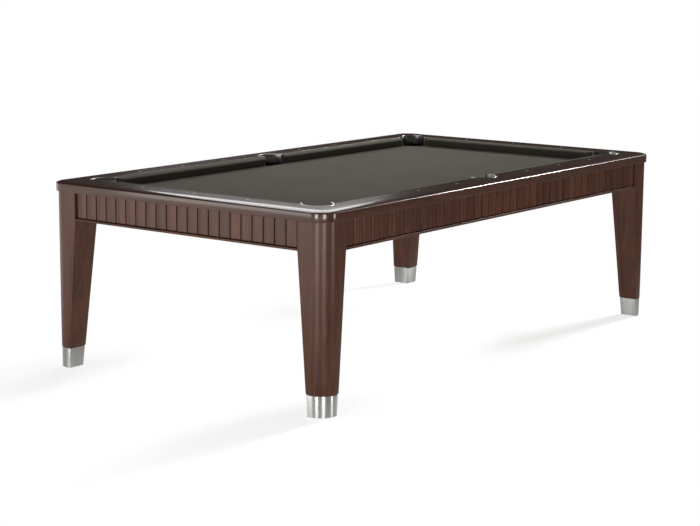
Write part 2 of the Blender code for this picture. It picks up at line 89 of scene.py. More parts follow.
class Tree:
    # a node tree that is being wired up
    def __init__(self, tree):
        self.tree = tree
        self.tree.nodes.clear()

    def node(self, kind, settings=None, sockets=None, out=0):
        made = self.tree.nodes.new(kind)
        for name, value in (settings or {}).items():
            if name == "stops":
                self.setStops(made.color_ramp.elements, value)
            else:
                setattr(made, name, value)
        for key, value in (sockets or {}).items():
            if isinstance(value, Wire):
                self.tree.links.new(value.socket, made.inputs[key])
            elif made.inputs[key].type == "RGBA" and len(value) == 3:
                made.inputs[key].default_value = (*value, 1)
            else:
                made.inputs[key].default_value = value
        return Wire(self, made.outputs[out]) if len(made.outputs) else made

    def setStops(self, elements, stops):
        while len(elements) < len(stops):
            elements.new(1.0)
        for element, (place, colour) in zip(elements, stops):
            element.position = place
            element.color = (*colour, 1)

    def also(self, wire, out):
        # another output of the same node
        return Wire(self, wire.socket.node.outputs[out])

    def maths(self, operation, *values):
        return self.node("ShaderNodeMath", {"operation": operation}, dict(enumerate(values)))

    def waves(self, value):
        # from 0 to 1 and back, over and over
        return self.maths("SINE", value) * 0.5 + 0.5

    def vector(self, *parts):
        return self.node("ShaderNodeCombineXYZ", None, dict(enumerate(parts)))

    def sum(self, first, second):
        # of two vectors
        return self.node("ShaderNodeVectorMath", {"operation": "ADD"}, {0: first, 1: second})

    def mix(self, factor, first, second):
        return self.node("ShaderNodeMix", {"data_type": "RGBA"}, {0: factor, 6: first, 7: second}, out=2)

    def ramp(self, value, stops):
        return self.node("ShaderNodeValToRGB", {"stops": stops}, {0: value})

    def fade(self, value, low, high):
        # 0 below low, 1 above high
        sockets = {"Value": value, "From Min": low, "From Max": high}
        return self.node("ShaderNodeMapRange", {"interpolation_type": "SMOOTHSTEP"}, sockets)

    def stretched(self, place, scale, shift=(0, 0, 0)):
        return self.node("ShaderNodeMapping", None, {"Vector": place, "Scale": scale, "Location": shift})

    def noise(self, place, scale, detail=4.0, roughness=0.5, distortion=0.0):
        sockets = {0: place, "Scale": scale, "Detail": detail, "Roughness": roughness, "Distortion": distortion}
        return self.node("ShaderNodeTexNoise", None, sockets)

    def moved(self, geometry, by):
        return self.node("GeometryNodeTransform", None, {"Geometry": geometry, "Translation": by})

    def joined(self, *parts):
        joint = self.node("GeometryNodeJoinGeometry")
        for part in parts:
            self.tree.links.new(part.socket, joint.socket.node.inputs[0])
        return joint

    def chance(self, low, seed):
        # for each instance, a number between low and 1
        return self.node("FunctionNodeRandomValue", {"data_type": "FLOAT"}, {2: low, 3: 1.0, 8: seed}, out=1)


def newShade(name):
    material = bpy.data.materials.new(name)
    material.use_nodes = True
    shade = Tree(material.node_tree)
    shade.material = material
    shade.place = shade.node("ShaderNodeTexCoord", out="Object")
    return shade


def closeShade(shade, colour, roughness, bump, more=None):
    # the Principled shader; bump is (height, strength, metres)
    normal = shade.node("ShaderNodeBump", None, dict(zip(("Height", "Strength", "Distance"), bump)))
    sockets = {"Base Color": colour, "Roughness": roughness, "Normal": normal, **(more or {})}
    surface = shade.node("ShaderNodeBsdfPrincipled", None, sockets)
    shade.node("ShaderNodeOutputMaterial", None, {"Surface": surface})
    return shade.material


# finishes

woodSettings = {
    "dark": (0.034, 0.0105, 0.0045),
    "middle": (0.066, 0.0208, 0.0088),
    "light": (0.112, 0.0370, 0.0158),
    # painted shade: the near-black colour of the board behind the slats, seen down the grooves between them
    "groove": (0.006, 0.0028, 0.0018),
    "along": 0.055,  # scale along the grain, where it is 1 across
    "figure": 13.0,
    "rings": 52.0,
    "streaks": 95.0,
    "pores": 620.0,
    "roughness": 0.27,
    "gloss": 0.12,
}


def espressoWood(name, grain, toned=False, shift=0.0, depth=1.0, coat=0.42, gloss=0.26):
    # stained hardwood under satin lacquer; grain is the axis that it runs along, and depth scales its stain
    settings = woodSettings
    shade = newShade(name)
    place = shade.place
    if toned:
        tone = shade.node("ShaderNodeAttribute", {"attribute_name": "slatTone"}, out="Fac")
        place = shade.sum(place, shade.vector(tone * 7.0, tone * 3.0, tone * 11.0))
    scale = [1.0, 1.0, 1.0]
    scale["xyz".index(grain)] = settings["along"]
    long = shade.stretched(place, scale, (shift, shift * 0.7, shift * 1.3))
    figure = shade.noise(long, settings["figure"], 3.0, 0.55, 1.1)
    streaks = shade.noise(long, settings["streaks"], 6.0, 0.62, 0.4)
    pores = shade.fade(shade.noise(long, settings["pores"], 3.0, 0.6), 0.61, 0.7)
    cloud = shade.noise(place, 5.5, 2.0, 0.5)
    rings = shade.waves(figure * settings["rings"])
    value = figure * 0.42 + rings * 0.15 + streaks * 0.4 + cloud * 0.18 - 0.08
    if toned:
        value = value + (tone - 0.5) * 0.2
    stains = [tuple(part * depth for part in settings[key]) for key in ("dark", "middle", "light")]
    colour = shade.ramp(value, tuple(zip((0.22, 0.5, 0.78), stains)))
    colour = shade.mix(pores * 0.4, colour, stains[0])
    if toned:
        # the board behind the slats has no tone of its own; it is painted nearly black, as painted shade in the
        # grooves between the slats
        slat = shade.fade(tone, 0.02, 0.06)
        colour = shade.mix(1.0 - slat, colour, settings["groove"])
        coat = slat * coat
    roughness = (streaks + pores) * 0.12 + settings["roughness"]
    more = {"Coat Weight": coat, "Coat Roughness": gloss, "Specular IOR Level": settings["gloss"]}
    return closeShade(shade, colour, roughness, (streaks * 0.35 - pores * 0.5, 0.10, 0.0006), more)


clothSettings = {
    "colour": (0.100, 0.093, 0.074),
    "shaded": (0.072, 0.066, 0.053),
    "thread": 0.00062,  # from one twill rib to the next
    "fibres": 1900.0,
    "sheen": 0.02,
}


def billiardCloth(name):
    # worsted wool: a fine twill under a short nap
    settings = clothSettings
    shade = newShade(name)
    ribs = math.tau / settings["thread"]
    split = shade.node("ShaderNodeSeparateXYZ", None, {0: shade.place})
    across, along, rise = (shade.also(split, i) for i in range(3))
    wobble = shade.noise(shade.place, 240.0, 2.0) * 2.2
    warp = shade.maths("SINE", (across + along + rise) * (ribs * 0.7) + wobble)
    weft = shade.maths("SINE", (across - along) * (ribs * 0.7) + wobble)
    nap = shade.noise(shade.place, settings["fibres"], 4.0, 0.7)
    brushed = shade.noise(shade.stretched(shade.place, (0.35, 1.0, 1.0)), 34.0, 4.0, 0.6)
    cloud = shade.noise(shade.place, 3.2, 3.0, 0.5)
    value = nap * 0.5 + brushed * 0.25 + cloud * 0.25 + warp * 0.05 + weft * 0.035
    colour = shade.mix(shade.fade(value, 0.3, 0.72), settings["shaded"], settings["colour"])
    more = {"Sheen Weight": settings["sheen"], "Sheen Roughness": 0.45, "Specular IOR Level": 0.06}
    return closeShade(shade, colour, 0.9 + nap * 0.1, (warp * 0.25 + weft * 0.2 + nap, 0.35, 0.0002), more)


def brushedSteel(name, colour=(0.74, 0.735, 0.71), roughness=0.38, lines=2600.0, spread=0.94, relief=0.03):
    # brushed round the piece, so the lines are long in plan and close together in height
    shade = newShade(name)
    brushing = shade.noise(shade.stretched(shade.place, (0.02, 0.02, 1.0)), lines, 4.0, 0.65)
    smears = shade.noise(shade.place, 46.0, 3.0, 0.5)
    scratches = shade.fade(shade.noise(shade.stretched(shade.place, (0.05, 0.05, 1.0)), 900.0, 2.0), 0.66, 0.7)
    value = brushing * 0.8 + smears * 0.2
    colour = shade.mix(shade.fade(value, 0.3, 0.7), tuple(part * 0.86 for part in colour), colour)
    roughness = value * 0.12 + scratches * 0.08 + (roughness - 0.06)
    more = {"Metallic": 1.0, "Anisotropic": spread, "Anisotropic Rotation": 0.25}
    return closeShade(shade, colour, roughness, (brushing - scratches * 0.5, relief, 0.0002), more)


def blackLeather(name):
    shade = newShade(name)
    wander = shade.noise(shade.place, 90.0, 3.0) * 0.004
    sockets = {"Vector": shade.sum(shade.place, wander), "Scale": 620.0}
    pebbles = shade.node("ShaderNodeTexVoronoi", {"feature": "DISTANCE_TO_EDGE"}, sockets)
    grain = shade.fade(pebbles, 0.0, 0.16)
    cloud = shade.noise(shade.place, 24.0, 4.0, 0.6)
    colour = shade.mix(shade.fade(cloud, 0.35, 0.75), (0.0075, 0.007, 0.0065), (0.021, 0.0195, 0.018))
    # painted shade: the crevices between the pebbles of the grain are painted darker
    colour = shade.mix(grain, (0.003, 0.003, 0.003), colour)
    return closeShade(shade, colour, 0.62 - grain * 0.14 + cloud * 0.08, (grain + cloud * 0.4, 0.35, 0.0004))


def honedSlate(name):
    shade = newShade(name)
    layers = shade.noise(shade.stretched(shade.place, (1.0, 1.0, 7.0)), 11.0, 8.0, 0.6, 0.8)
    specks = shade.noise(shade.place, 700.0, 2.0, 0.6)
    saw = shade.noise(shade.stretched(shade.place, (0.05, 1.0, 1.0)), 260.0, 3.0)
    stops = ((0.3, (0.045, 0.05, 0.055)), (0.55, (0.085, 0.09, 0.096)), (0.8, (0.14, 0.143, 0.145)))
    colour = shade.ramp(layers * 0.75 + specks * 0.25, stops)
    return closeShade(shade, colour, 0.6 + specks * 0.2, (layers + specks * 0.4 + saw * 0.3, 0.25, 0.0006))


def planedTimber(name, grain):
    shade = newShade(name)
    scale = [1.0, 1.0, 1.0]
    scale["xyz".index(grain)] = 0.05
    long = shade.stretched(shade.place, scale)
    figure = shade.noise(long, 16.0, 3.0, 0.5, 1.6)
    fibres = shade.noise(long, 330.0, 5.0, 0.7)
    rings = shade.waves(figure * 60.0)
    stops = ((0.15, (0.29, 0.165, 0.075)), (0.5, (0.47, 0.315, 0.165)), (0.85, (0.6, 0.44, 0.26)))
    colour = shade.ramp(rings * 0.5 + fibres * 0.5, stops)
    return closeShade(shade, colour, 0.6 + fibres * 0.2, (fibres + rings * 0.3, 0.25, 0.0005))


def zincSteel(name):
    shade = newShade(name)
    spangle = shade.node("ShaderNodeTexVoronoi", None, {"Vector": shade.place, "Scale": 190.0}, out="Color")
    grey = shade.node("ShaderNodeRGBToBW", None, {0: spangle})
    film = shade.noise(shade.place, 30.0, 4.0, 0.6)
    value = grey * 0.4 + film * 0.6
    colour = shade.mix(value, (0.36, 0.37, 0.39), (0.6, 0.6, 0.58))
    return closeShade(shade, colour, value * 0.25 + 0.26, (film, 0.1, 0.0003), {"Metallic": 1.0})


def pearlInlay(name):
    shade = newShade(name)
    drift = shade.noise(shade.place, 260.0, 3.0, 0.6, 2.0)
    stops = ((0.3, (0.40, 0.37, 0.31)), (0.5, (0.52, 0.50, 0.45)), (0.7, (0.44, 0.49, 0.49)))
    return closeShade(shade, shade.ramp(drift, stops), 0.34 + drift * 0.1, (drift, 0.05, 0.0002))


def waxedThread(name):
    shade = newShade(name)
    twist = shade.noise(shade.place, 2400.0, 3.0, 0.6)
    colour = shade.mix(twist, (0.03, 0.028, 0.026), (0.09, 0.085, 0.078))
    return closeShade(shade, colour, 0.5 + twist * 0.2, (twist, 0.3, 0.0002))


longWood = espressoWood("espresso wood, grain along", "x", depth=0.8, coat=0.8, gloss=0.14)
endWood = espressoWood("espresso wood, grain across", "y", shift=3.1, depth=0.72, coat=0.8, gloss=0.12)
longMouldWood = espressoWood("espresso wood, long mouldings", "x", shift=1.9, coat=0.25)
endMouldWood = espressoWood("espresso wood, end mouldings", "y", shift=4.3, coat=0.25)
legWood = espressoWood("espresso wood, grain upright", "z", shift=5.7, gloss=0.3)
slatWood = espressoWood("espresso wood, slats", "z", toned=True)
cloth = billiardCloth("charcoal billiard cloth")
capMetal = brushedSteel("brushed steel")
rimMetal = brushedSteel("satin rim metal", (0.47, 0.47, 0.45), roughness=0.30, lines=1500.0, spread=0.0, relief=0.1)
leather = blackLeather("black pocket leather")
slate = honedSlate("honed slate")
timberX = planedTimber("frame timber, grain along", "x")
timberY = planedTimber("frame timber, grain across", "y")
zinc = zincSteel("zinc plated steel")
pearl = pearlInlay("pearl inlay")
thread = waxedThread("waxed thread")
print("finishes made")


# shapes

def arcPoints(centre, radius, start, end, steps):
    angles = [start + (end - start) / steps * i for i in range(steps + 1)]
    return [Vector((centre[0] + radius * math.cos(a), centre[1] + radius * math.sin(a))) for a in angles]


def quarter(steps):
    # round a quarter of a circle, from (1, 0) to (0, 1), for an edge that is rounded off
    leans = [math.pi / 2 * k / steps for k in range(steps + 1)]
    return [(1 - math.sin(lean), 1 - math.cos(lean)) for lean in leans]


def spun(point, angle):
    return Matrix.Rotation(angle, 2) @ Vector(point)


def filleted(corners, radii, steps):
    # a closed outline whose corners are rounded, each to its own radius and in its own number of steps
    points = [Vector(corner) for corner in corners]
    rounded = []
    for i, (point, radius) in enumerate(zip(points, radii)):
        before = (points[i - 1] - point).normalized()
        after = (points[(i + 1) % len(points)] - point).normalized()
        half = before.angle(after) / 2
        centre = point + (before + after).normalized() * (radius / math.sin(half))
        start = point + before * (radius / math.tan(half)) - centre
        end = point + after * (radius / math.tan(half)) - centre
        rounded += [centre + start.slerp(end, k / steps[i]).normalized() * radius for k in range(steps[i] + 1)]
    return rounded


def skin(bm, rows, closed=True):
    # quads between neighbouring rows of vertices
    for lower, upper in zip(rows, rows[1:]):
        count = len(lower)
        for i in range(count if closed else count - 1):
            j = (i + 1) % count
            bm.faces.new((lower[i], lower[j], upper[j], upper[i]))


def link(name, data):
    made = bpy.data.objects.new(name, data)
    bpy.context.scene.collection.objects.link(made)
    return made


def smoothed(mesh, sharp):
    mesh.shade_smooth()
    mesh.set_sharp_from_angle(angle=math.radians(sharp))
    return mesh


def addPiece(name, bm, material, sharp=32.0):
    bmesh.ops.recalc_face_normals(bm, faces=bm.faces)
    mesh = bpy.data.meshes.new(name)
    bm.to_mesh(mesh)
    bm.free()
    if material:
        mesh.materials.append(material)
    return link(name, smoothed(mesh, sharp))


def lofted(name, rows, material, sharp=32.0):
    # rows of points, joined and closed at both ends
    bm = bmesh.new()
    rows = [[bm.verts.new(point) for point in row] for row in rows]
    skin(bm, rows)
    bm.faces.new(rows[0])
    bm.faces.new(rows[-1])
    return addPiece(name, bm, material, sharp)


def turn(piece, angle, place=(0, 0, 0)):
    # moves the mesh and leaves the object at the origin
    piece.data.transform(Matrix.Translation(Vector(place)) @ Matrix.Rotation(angle, 4, "Z"))
    return piece


def settle(piece, sharp=32.0):
    # the piece as its modifiers leave it, as a plain mesh
    graph = bpy.context.evaluated_depsgraph_get()
    mesh = bpy.data.meshes.new_from_object(piece.evaluated_get(graph))
    piece.modifiers.clear()
    piece.data = smoothed(mesh, sharp)
    return piece


def cutWith(piece, cutters):
    for cutter in cutters:
        modifier = piece.modifiers.new(cutter.name, "BOOLEAN")
        modifier.operation = "DIFFERENCE"
        modifier.object = cutter


def prism(name, outline, low, high):
    return lofted(name, [[(x, y, z) for x, y in outline] for z in (low, high)], None)


def putOn(piece, nodes=(), body=table):
    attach(piece, body)
    if nodes:
        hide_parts(*nodes)
    return piece


def discard(pieces):
    for piece in pieces:
        bpy.data.objects.remove(piece, do_unlink=True)


# recipes in geometry nodes, for what repeats

def newRecipe(name, sizes):
    # sizes: what each one is called, and a value of the kind that it takes
    group = bpy.data.node_groups.new(name, "GeometryNodeTree")
    kinds = {int: "NodeSocketInt", float: "NodeSocketFloat", tuple: "NodeSocketRotation"}
    face = group.interface
    face.new_socket("Geometry", in_out="INPUT", socket_type="NodeSocketGeometry")
    for label, value in sizes.items():
        face.new_socket(label, in_out="INPUT", socket_type=kinds[type(value)]).default_value = value
    face.new_socket("Geometry", in_out="OUTPUT", socket_type="NodeSocketGeometry")
    recipe = Tree(group)
    recipe.given = recipe.node("NodeGroupInput")
    return recipe, {label: recipe.also(recipe.given, label) for label in sizes}


def closeRecipe(recipe, geometry, material):
    # every recipe ends in plain, painted geometry
    real = recipe.node("GeometryNodeRealizeInstances", None, {0: geometry})
    painted = recipe.node("GeometryNodeSetMaterial", None, {"Geometry": real, "Material": material})
    recipe.node("NodeGroupOutput", None, {0: painted})
    return recipe.tree


def runRecipe(piece, group, values, sharp=32.0):
    modifier = piece.modifiers.new(group.name, "NODES")
    modifier.node_group = group
    for item in group.interface.items_tree:
        if item.item_type == "SOCKET" and item.in_out == "INPUT" and item.name in values:
            modifier[item.identifier] = values[item.name]
    return settle(piece, sharp)


def pointPiece(name, places, edges=()):
    # loose points or a line, for a recipe to stand things on
    mesh = bpy.data.meshes.new(name)
    mesh.from_pydata([tuple(place) for place in places], edges, [])
    return link(name, mesh)


# pockets: in a pocket's own plan, +X points away from the play field

pocketSettings = {
    "cornerSetback": 0.014,  # centre past the corner of the play field
    "sideSetback": 0.032,
    "cornerMouth": 0.127,
    "sideMouth": 0.140,
    "rimRadius": 0.067,
    "rimBand": 0.010,
    "cornerArm": 0.044,
    "sideArm": 0.020,
    "steps": 56,
    "gap": 0.0003,
    "mouthRun": 0.11,
    "dropRadius": 0.061,
    "sideShelf": 0.0285,  # centre to the straight drop edge of a side pocket
    "cornerShelf": 1.0,  # never reached, so a corner drop is round
}


class Pocket:
    def __init__(self, name, centre, angle, noseEnd, arm, shelf):
        self.name = name
        self.centre = Vector(centre)
        self.angle = angle
        self.arm = arm
        self.shelf = shelf
        reach = math.hypot(*noseEnd)
        self.jaw = math.atan2(noseEnd[1], noseEnd[0]) - math.acos(pocketSettings["rimRadius"] / reach)
        self.along = Vector((-math.sin(self.jaw), math.cos(self.jaw)))

    def put(self, outline):
        return [spun(point, self.angle) + self.centre for point in outline]

    def mouth(self, radius, run):
        back = arcPoints((0, 0), radius, -self.jaw, self.jaw, pocketSettings["steps"])
        left = back[-1] + self.along * run
        return [Vector((left.x, -left.y)), *back, left]

    def drop(self, radius, shelf, steps):
        # the field side of the drop, from one straight side round to the other
        angles = [math.pi / 2 + math.pi * i / steps for i in range(steps + 1)]
        points = []
        for angle in angles:
            far = radius
            if math.cos(angle) < -1e-6:
                far = blendedLeast(radius, shelf / -math.cos(angle), 0.0012)
            points.append(Vector((math.cos(angle), math.sin(angle))) * far)
        return points


def blendedLeast(first, second, width):
    # the lesser of two numbers, rounded where they cross
    low = min(first, second)
    total = math.exp((low - first) / width) + math.exp((low - second) / width)
    return low - width * math.log(total)


def cornerPocket(name, signX, signY):
    settings = pocketSettings
    offset = settings["cornerSetback"] / math.sqrt(2)
    half = settings["cornerMouth"] / 2
    centre = (signX * (noseX + offset), signY * (noseY + offset))
    noseEnd = (-settings["cornerSetback"] - half, half)
    return Pocket(name, centre, math.atan2(signY, signX), noseEnd, settings["cornerArm"], settings["cornerShelf"])


def sidePocket(name, signY):
    settings = pocketSettings
    centre = (0, signY * (noseY + settings["sideSetback"]))
    noseEnd = (-settings["sideSetback"], settings["sideMouth"] / 2)
    return Pocket(name, centre, signY * math.pi / 2, noseEnd, settings["sideArm"], settings["sideShelf"])


pockets = {name: cornerPocket(name, *signs) for name, signs in corners.items()}
pockets["side_right"] = sidePocket("side_right", -1)
pockets["side_left"] = sidePocket("side_left", 1)


# rails: in a rail's own plan, X runs along it and +Y points away from the field

railSettings = {
    "edgeTop": 0.789,  # where the upright face turns into the crown
    "crownRun": 0.048,
    "crownSteps": 14,
    "cornerRadius": 0.0765,
    "cornerSteps": 16,
    "lowerRound": 0.0018,
    "innerRound": 0.0012,
    "mitreGap": 0.00022,
}


def railLevels():
    # (inset from the outer edge, height) up the face and over the crown
    settings = railSettings
    small = settings["lowerRound"]
    levels = [tuple(point) for point in arcPoints((small, railBottom + small), small, 1.5 * math.pi, math.pi, 4)]
    rise = railTop - settings["edgeTop"]
    for i in range(settings["crownSteps"] + 1):
        angle = math.pi / 2 * (i / settings["crownSteps"]) ** 1.25
        levels.append((settings["crownRun"] * (1 - math.cos(angle)), settings["edgeTop"] + rise * math.sin(angle)))
    return levels


def makeRail(name, half, angle, mouths, material):
    settings = railSettings
    start = Vector((half[0] - settings["mitreGap"], half[1]))
    middle = start + Vector((1, 1)) * (railWidth - settings["cornerRadius"])
    bm = bmesh.new()
    rows = []
    for inset, height in railLevels():
        radius = settings["cornerRadius"] - inset
        right = arcPoints(middle, radius, math.pi / 4, math.pi / 2, settings["cornerSteps"])
        left = [Vector((-x, y)) for x, y in reversed(right)]
        rows.append([bm.verts.new((x, y, height)) for x, y in right + left])
    skin(bm, rows, closed=False)
    small = settings["innerRound"]
    inner = []
    lift = arcPoints((small, railTop - small), small, math.pi / 2, math.pi, 3)
    for run, height in [*lift, (0.0, railBottom)]:
        corner = start + Vector((1, 1)) * (cushionDepth + run)
        inner.append([bm.verts.new((side * corner.x, corner.y, height)) for side in (1, -1)])
    skin(bm, inner, closed=False)
    bm.faces.new([*rows[-1], *reversed(inner[0])])
    bm.faces.new([*rows[0], *reversed(inner[-1])])
    for end in (0, -1):
        bm.faces.new([*(row[end] for row in rows), *(pair[end] for pair in inner)])
    rail = turn(addPiece(name, bm, material), angle)
    cutWith(rail, mouths)
    return settle(rail)


mouths = {}
for name, pocket in pockets.items():
    mouth = pocket.mouth(pocketSettings["rimRadius"] + pocketSettings["gap"], pocketSettings["mouthRun"])
    mouths[name] = prism(f"mouth cutter {name}", pocket.put(mouth), bedTop - 0.02, railTop + 0.02)

sideAngles = {"left": 0.0, "right": math.pi, "head": math.pi / 2, "foot": -math.pi / 2}
for side, angle in sideAngles.items():
    near = [mouth for name, mouth in mouths.items() if side in name]
    isLong = side in ("left", "right")
    half = (noseX, noseY) if isLong else (noseY, noseX)
    rail = makeRail(f"wood_rail_{side}", half, angle, near, longWood if isLong else endWood)
    putOn(rail, [f"rail_{side}"])
discard(mouths.values())
print("rails made")


# sights, let into the rails at eighths of the play field

sightSettings = {"fromEdge": 0.091, "sizes": {"Radius": 0.0052, "Rise": 0.0003, "Sides": 28}}


def sightPlaces():
    step = noseX / 4
    line = outY - sightSettings["fromEdge"]
    endLine = line - noseY + noseX
    places = [(i * step, side * line) for side in (-1, 1) for i in (-3, -2, -1, 1, 2, 3)]
    places += [(side * endLine, i * step) for side in (-1, 1) for i in (-1, 0, 1)]
    return [(x, y, railTop) for x, y in places]


def makeSights():
    recipe, size = newRecipe("inlaid sights", sightSettings["sizes"])
    radius, rise = size["Radius"], size["Rise"]
    sockets = {"Radius Top": radius * 0.93, "Radius Bottom": radius, "Depth": rise * 2.0, "Vertices": size["Sides"]}
    disc = recipe.node("GeometryNodeMeshCone", {"fill_type": "NGON"}, sockets, out="Mesh")
    stood = recipe.node("GeometryNodeInstanceOnPoints", None, {"Points": recipe.given, "Instance": disc})
    sockets = {"Instances": stood, "Translation": recipe.vector(0, 0, rise * -1.0)}
    sunk = recipe.node("GeometryNodeTranslateInstances", None, sockets)
    group = closeRecipe(recipe, sunk, pearl)
    return runRecipe(pointPiece("rail_sights", sightPlaces()), group, sightSettings["sizes"], 60.0)


putOn(makeSights())
print("sights made")


# cushions: cloth drawn tight over a rubber strip, wrapped round its ends

cushionSettings = {
    "noseAboveBed": 0.0365,
    "foot": 0.017,  # nose to the foot of the face
    "lift": 0.0006,
    "noseRound": 0.0028,
    "topRound": 0.0022,
    "stations": 60,
    "endRound": 0.0035,
    "endSteps": 5,
    "pleats": 0.00022,  # depth of the folds where the cloth wraps the ends
    "pleatReach": 0.03,
}


def cushionOutline():
    # (depth behind the nose, height), round the section
    settings = cushionSettings
    nose = bedTop + settings["noseAboveBed"]
    low = bedTop + settings["lift"]
    back = cushionDepth - 0.0004
    face = ((0.003, nose + 0.0018), (-0.0006, nose - 0.0036), (settings["foot"], low))
    radii = (0.0008, settings["topRound"], settings["noseRound"], 0.0022, 0.001)
    return filleted(((back, low), (back, railTop - 0.0002), *face), radii, [4] * 5)


def makeCushion(name, nose, ends, angle):
    # ends: for each end, (where the nose stops, how far the jaw moves along for each metre of depth)
    settings = cushionSettings
    outline = cushionOutline()
    middle = sum(outline, Vector((0, 0))) / len(outline)
    size = max((point - middle).length for point in outline) * 0.7
    span = abs(ends[1][0] - ends[0][0])
    curl = settings["endRound"] / span
    # stations along the cushion: (share of its length, how far the section shrinks there)
    start = [(curl * off, settings["endRound"] * up) for off, up in reversed(quarter(settings["endSteps"])[:-1])]
    shares = [i / settings["stations"] for i in range(settings["stations"] + 1)]
    stations = start + [(curl * (1 - k) + (1 - curl) * k, 0.0) for k in shares]
    stations += [(1 - place, inset) for place, inset in reversed(start)]
    rows = []
    for place, inset in stations:
        row = []
        for k, point in enumerate(outline):
            point = middle + (point - middle) * (1 - inset / size)
            first, last = (end + slope * point.x for end, slope in ends)
            along = first + (last - first) * place
            fold = max(0.0, 1 - min(place, 1 - place) * span / settings["pleatReach"]) ** 2
            wave = settings["pleats"] * fold * math.sin(k * 1.9 + along * 700.0)
            row.append((along, nose + point.x, point.y + wave))
        rows.append(row)
    return turn(lofted(name, rows, cloth, 50.0), angle)


def jawEnd(pocket, nose, along, angle):
    # where this pocket's jaw meets a cushion's nose line, and its slope past it, in the rail's plan
    radius = pocketSettings["rimRadius"] + pocketSettings["gap"]
    found = []
    for sign in (-1, 1):
        foot = (radius * math.cos(pocket.jaw), sign * radius * math.sin(pocket.jaw))
        start = spun(pocket.put([foot])[0], -angle)
        run = spun((pocket.along.x, sign * pocket.along.y), pocket.angle - angle)
        if abs(run.y) > 1e-6:
            stop = start.x + run.x * (nose - start.y) / run.y
            found.append((abs(stop - along), (stop, run.x / run.y)))
    return min(found)[1]


# (name, nose line, for each end about where its nose stops and the pocket there, the rail's turn)
cushionPlaces = []
for side in ("left", "right"):
    for end in ("head", "foot"):
        sign = (1 if end == "foot" else -1) * math.cos(sideAngles[side])
        ends = [(sign * 0.07, f"side_{side}"), (sign * (noseX - 0.08), f"{end}_{side}")]
        cushionPlaces.append((f"{side}_{end}", noseY, sorted(ends), sideAngles[side]))
for end in ("head", "foot"):
    names = (f"{end}_left", f"{end}_right")
    spots = [spun(pockets[name].centre, -sideAngles[end]).x for name in names]
    ends = [(math.copysign(noseY - 0.08, spot), name) for spot, name in zip(spots, names)]
    cushionPlaces.append((end, noseX, sorted(ends), sideAngles[end]))

for name, nose, ends, angle in cushionPlaces:
    ends = [jawEnd(pockets[pocketName], nose, along, angle) for along, pocketName in ends]
    cushion = makeCushion(f"cloth_cushion_{name}", nose, ends, angle)
    putOn(cushion, [f"cushion_{name}"])
print("cushions made")


# bed cloth: stretched over the slate and folded down into each drop

bedClothSettings = {
    "thickness": 0.0009,
    "fold": 0.0032,
    "foldSteps": 5,
    "skirt": 0.016,  # how far it runs down into a drop
    "steps": 44,
}


def runOut(point, way):
    # from a point, straight on to the cloth's outer edge
    spans = []
    for axis, edge in ((0, clothEdge.x), (1, clothEdge.y)):
        if abs(way[axis]) > 1e-6:
            spans.append((math.copysign(edge, way[axis]) - point[axis]) / way[axis])
    return point + way * min(span for span in spans if span > 0)


def makeBedCloth():
    settings = bedClothSettings
    fold = settings["fold"]
    bm = bmesh.new()
    outline = []
    drops = []
    for name in ("side_right", "foot_right", "foot_left", "side_left", "head_left", "head_right"):
        pocket = pockets[name]
        rows = []
        for off, up in quarter(settings["foldSteps"]):
            back = fold * off
            curve = pocket.drop(pocketSettings["dropRadius"] + back, pocket.shelf + back, settings["steps"])
            rows.append([(x, y, bedTop - fold * up) for x, y in pocket.put(curve)])
        rows.append([(x, y, bedTop - fold - settings["skirt"]) for x, y, _ in rows[-1]])
        rows = [[bm.verts.new(point) for point in row] for row in rows]
        way = spun((1, 0), pocket.angle)
        first, last = (bm.verts.new((*runOut(rows[0][end].co.xy, way), bedTop)) for end in (0, -1))
        outline += [last, *reversed(rows[0]), first]
        drops.append(rows)
    bm.faces.new(outline)
    for rows in drops:
        skin(bm, rows, closed=False)
    area = sum(face.calc_area() for face in bm.faces)
    bmesh.ops.recalc_face_normals(bm, faces=bm.faces)
    top = max(bm.faces, key=lambda face: face.calc_area())
    if top.normal.z < 0:
        bmesh.ops.reverse_faces(bm, faces=bm.faces)
    bmesh.ops.triangulate(bm, faces=[top])
    mesh = bpy.data.meshes.new("stretched_bed_cloth")
    bm.to_mesh(mesh)
    bm.free()
    mesh.materials.append(cloth)
    piece = link("stretched_bed_cloth", mesh)
    solid = piece.modifiers.new("thickness", "SOLIDIFY")
    solid.thickness = settings["thickness"]
    solid.offset = -1
    return settle(piece, 40.0), area


bedCloth, bedClothArea = makeBedCloth()
putOn(bedCloth, ["bed_cloth"])
print(f"bed cloth made, {bedClothArea:.3f} square metres")


# pocket rims and bags

rimSettings = {"rise": 0.0012, "outerRound": 0.0022, "innerRound": 0.0032, "tip": 0.0042, "tipSteps": 6}


def rimOutline():
    # (in from the outer face, height)
    settings = rimSettings
    low, top = railBottom + 0.0004, railTop + settings["rise"]
    band = pocketSettings["rimBand"]
    radii = (0.0006, settings["outerRound"], settings["innerRound"], 0.0006)
    return filleted(((0, low), (0, top), (band, top), (band, low)), radii, [4] * 4)


